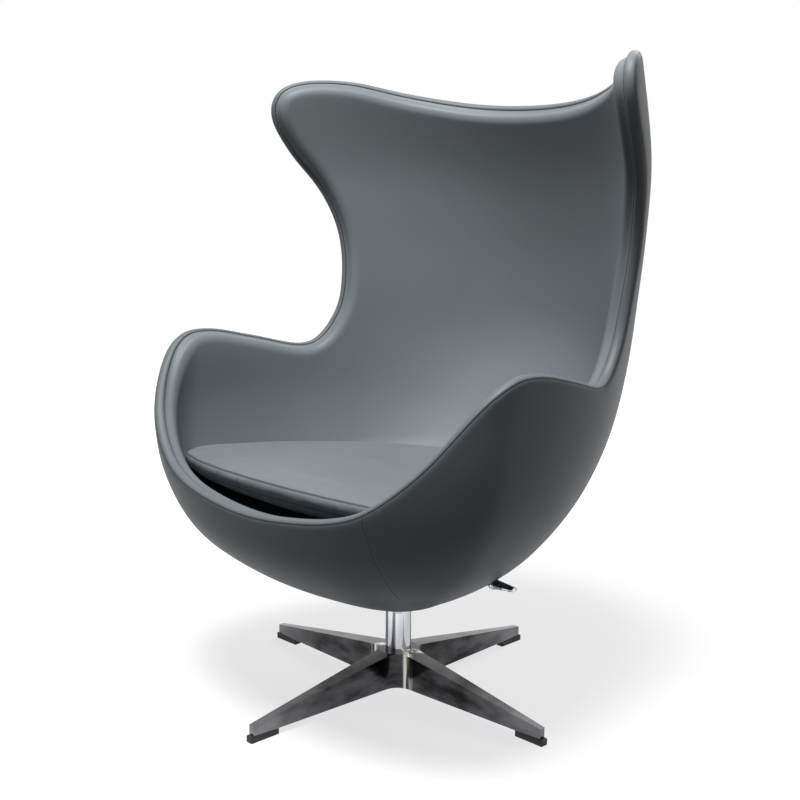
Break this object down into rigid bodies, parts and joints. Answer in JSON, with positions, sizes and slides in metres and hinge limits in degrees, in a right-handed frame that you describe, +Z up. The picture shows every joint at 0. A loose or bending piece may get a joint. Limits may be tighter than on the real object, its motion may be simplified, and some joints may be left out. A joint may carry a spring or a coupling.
{
  "type": "pod chair",
  "caption": "High-back upholstered pod armchair with a rolled rim and loose seat cushion, on a swivelling and tilting column with a low star base and a lock lever.",
  "frame": {"origin": "on the floor, on the axis of the base column", "axes": "+Z up, the sitter faces -Y, +X is the sitter's left, where the lock lever is"},
  "size_m": [0.8374, 0.787, 1.0849],
  "materials": {
    "polished_base": "polished",
    "chrome_column": "polished",
    "black_plastic": "matt",
    "bearing_plastic": "matt",
    "turned_steel": "turned",
    "black_steel": "satin",
    "cast_steel": "satin",
    "stop_rubber": "matt",
    "grey_leather": "satin",
    "foam": "open cell",
    "fibreglass": "moulded",
    "plywood": "sanded"
  },
  "bodies": {
    "base": {"star_base": "polished_base", "foot_glides": "black_plastic", "glide_screws": "turned_steel", "column_tube": "chrome_column", "lower_bush": "bearing_plastic", "upper_bush": "bearing_plastic", "thrust_washer": "turned_steel"},
    "swivel": {"spindle": "turned_steel", "retaining_washer": "turned_steel", "spindle_circlip": "black_steel", "tilt_yoke": "cast_steel", "tilt_bushes": "bearing_plastic", "tilt_springs": "turned_steel", "upright_stop": "stop_rubber", "recline_stop": "stop_rubber"},
    "seat": {"tilt_bracket": "cast_steel", "tilt_axle": "turned_steel", "axle_circlips": "black_steel", "bottom_collar": "black_steel", "mounting_bolts": "turned_steel", "mounting_nuts": "turned_steel", "fibreglass_shell": "fibreglass", "seat_deck": "plywood", "seat_foam": "foam", "back_foam": "foam", "left_arm_foam": "foam", "right_arm_foam": "foam", "outer_foam": "foam", "inner_cover": "grey_leather", "back_cover": "grey_leather", "front_apron": "grey_leather", "rim_band": "grey_leather"},
    "lever": {"lever_rod": "chrome_column", "lock_cam": "turned_steel", "lever_handle": "chrome_column"},
    "cushion": {"cushion_foam": "foam", "cushion_top_cover": "grey_leather", "cushion_border": "grey_leather", "cushion_base_cover": "grey_leather", "cushion_zip": "black_plastic"}
  },
  "joints": [
    {"name": "swivel", "type": "hinge", "parent": "base", "child": "swivel", "pos_m": [0, 0, 0.1], "axis": [0, 0, 1], "continuous": true},
    {"name": "tilt", "type": "hinge", "parent": "swivel", "child": "seat", "pos_m": [0, 0, 0.222], "axis": [-1, 0, 0], "range_deg": [0, 12], "stiffness_Nm_per_rad": 250, "springref_deg": -14.32, "deforming": ["tilt_springs"]},
    {"name": "tilt_lock_lever", "type": "hinge", "parent": "seat", "child": "lever", "pos_m": [0.1, -0.035, 0.258], "axis": [1, 0, 0], "range_deg": [0, 60]},
    {"name": "cushion_lift", "type": "slide", "parent": "seat", "child": "cushion", "axis": [0, 0, 1], "range_m": [0, 0.25]}
  ]
}
